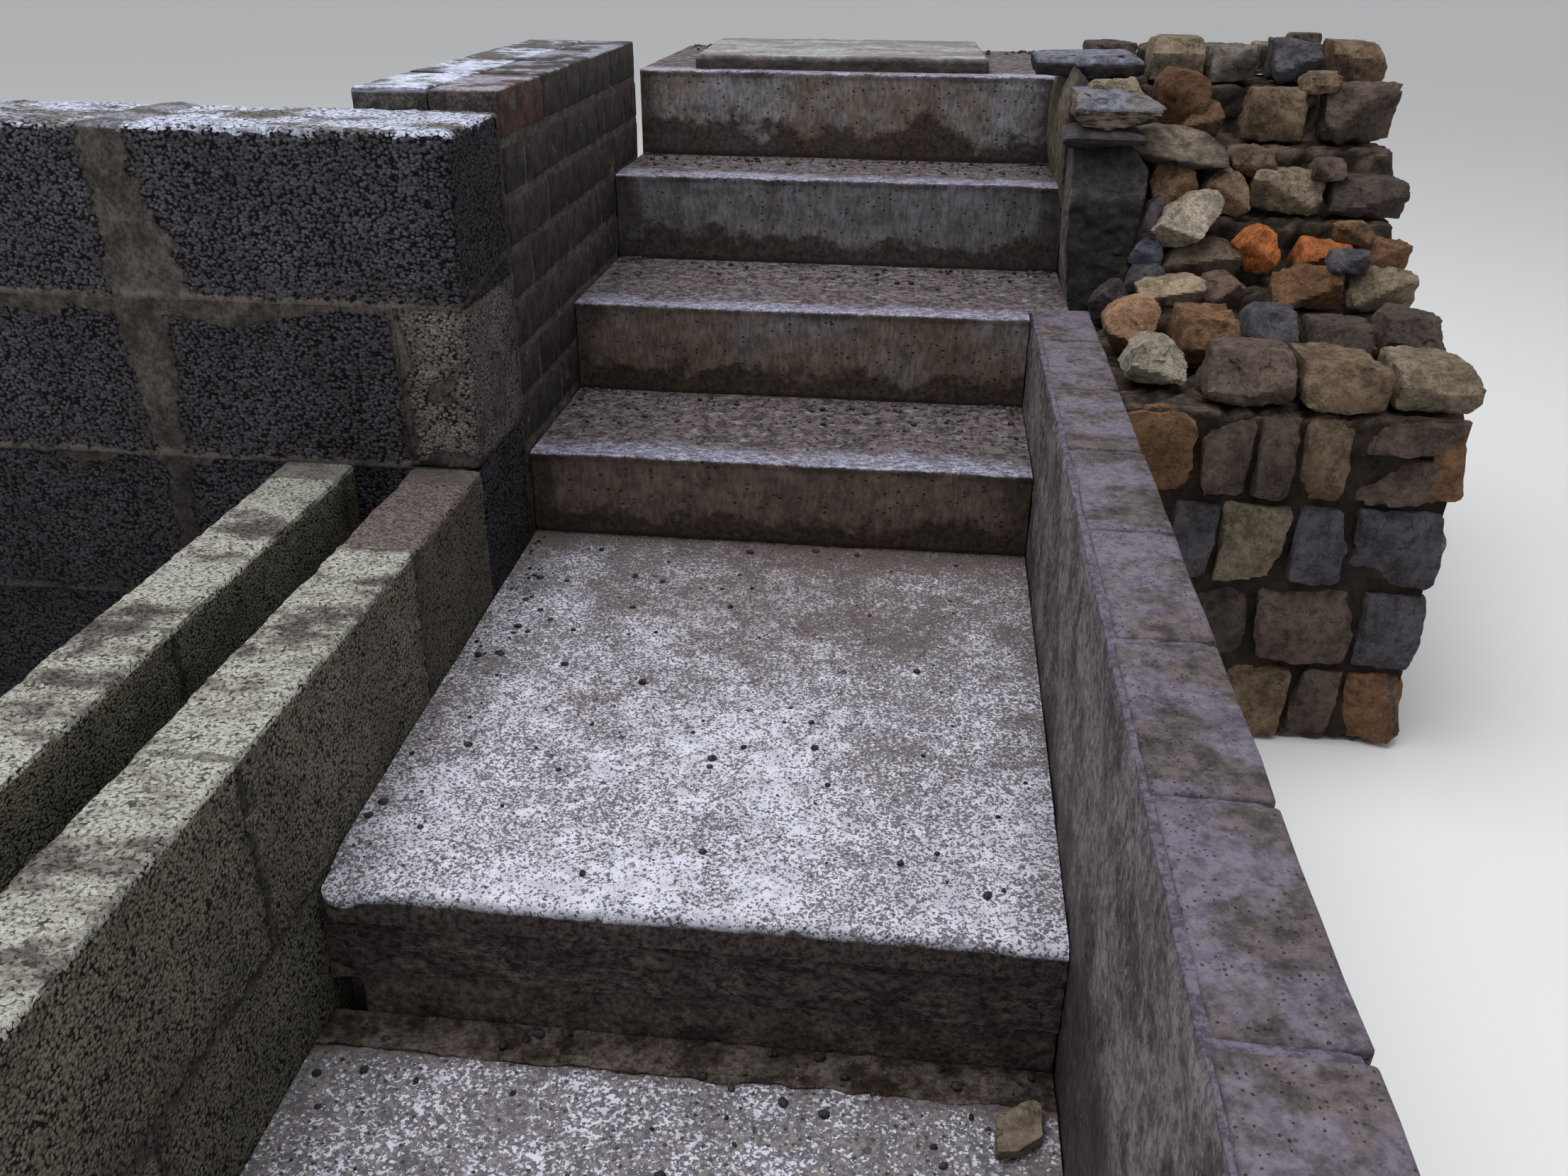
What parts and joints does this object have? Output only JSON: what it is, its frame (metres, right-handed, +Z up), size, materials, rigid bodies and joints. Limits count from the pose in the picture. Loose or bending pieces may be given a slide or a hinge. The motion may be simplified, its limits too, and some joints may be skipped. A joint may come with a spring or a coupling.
{
  "type": "outdoor steps with side walls",
  "caption": "Straight outdoor flight of cast concrete steps and landing between low walls of concrete block, brick and stacked stone.",
  "frame": {"origin": "bottom centre of the whole structure's box, on the level ground that the walls stand on", "axes": "+Z up; +Y up the flight, towards the top landing; +X to the right of someone climbing the steps"},
  "size_m": [2.74, 2.988, 0.9895],
  "materials": {
    "pale_concrete": "worn, exposed aggregate",
    "bed_mortar": "gritty, dirty",
    "dark_concrete": "brushed, damp",
    "tread_topping": "smooth, dirty",
    "flag_stone": "riven",
    "dark_block": "open textured",
    "light_block": "open textured",
    "grey_brick": "smooth",
    "kerb_brick": "smooth, smeared",
    "pale_slate": "riven",
    "dark_slate": "riven, damp",
    "packed_rubble": "rough",
    "rubble_stone": "rough"
  },
  "bodies": {
    "root": {"bottom_slab": "pale_concrete", "toe_strip": "bed_mortar", "landing_base": "dark_concrete", "landing_slab": "dark_concrete", "landing_topping": "pale_concrete", "step_1_body": "dark_concrete", "step_1_tread": "tread_topping", "step_2_body": "dark_concrete", "step_2_tread": "tread_topping", "step_3_body": "dark_concrete", "step_3_tread": "tread_topping", "step_4_body": "dark_concrete", "top_landing": "tread_topping", "paving_flag": "flag_stone", "block_wall_footing": "dark_concrete", "block_wall_course_1": "dark_block", "block_wall_course_2": "dark_block", "block_wall_course_3": "dark_block", "block_wall_course_4": "dark_block", "closer_block": "light_block", "cheek_wall_front_leaf": "grey_brick", "cheek_wall_back_leaf": "grey_brick", "skin_footing": "dark_concrete", "inner_skin_lower": "light_block", "inner_skin_upper": "light_block", "outer_skin_lower": "light_block", "outer_skin_upper": "light_block", "kerb_wall": "kerb_brick", "upright_slab": "pale_slate", "upright_post": "dark_slate", "cap_slate_lower": "dark_slate", "cap_slate_upper": "pale_slate", "cap_stone": "rubble_stone", "leaning_slate": "pale_slate", "top_flagstone": "pale_slate", "rubble_hearting": "packed_rubble", "rubble_row_1": "rubble_stone", "rubble_row_2": "rubble_stone", "rubble_row_3": "rubble_stone", "rubble_row_4": "rubble_stone", "rubble_row_5": "rubble_stone", "rubble_row_6": "rubble_stone", "loose_stone": "rubble_stone"}
  },
  "joints": []
}
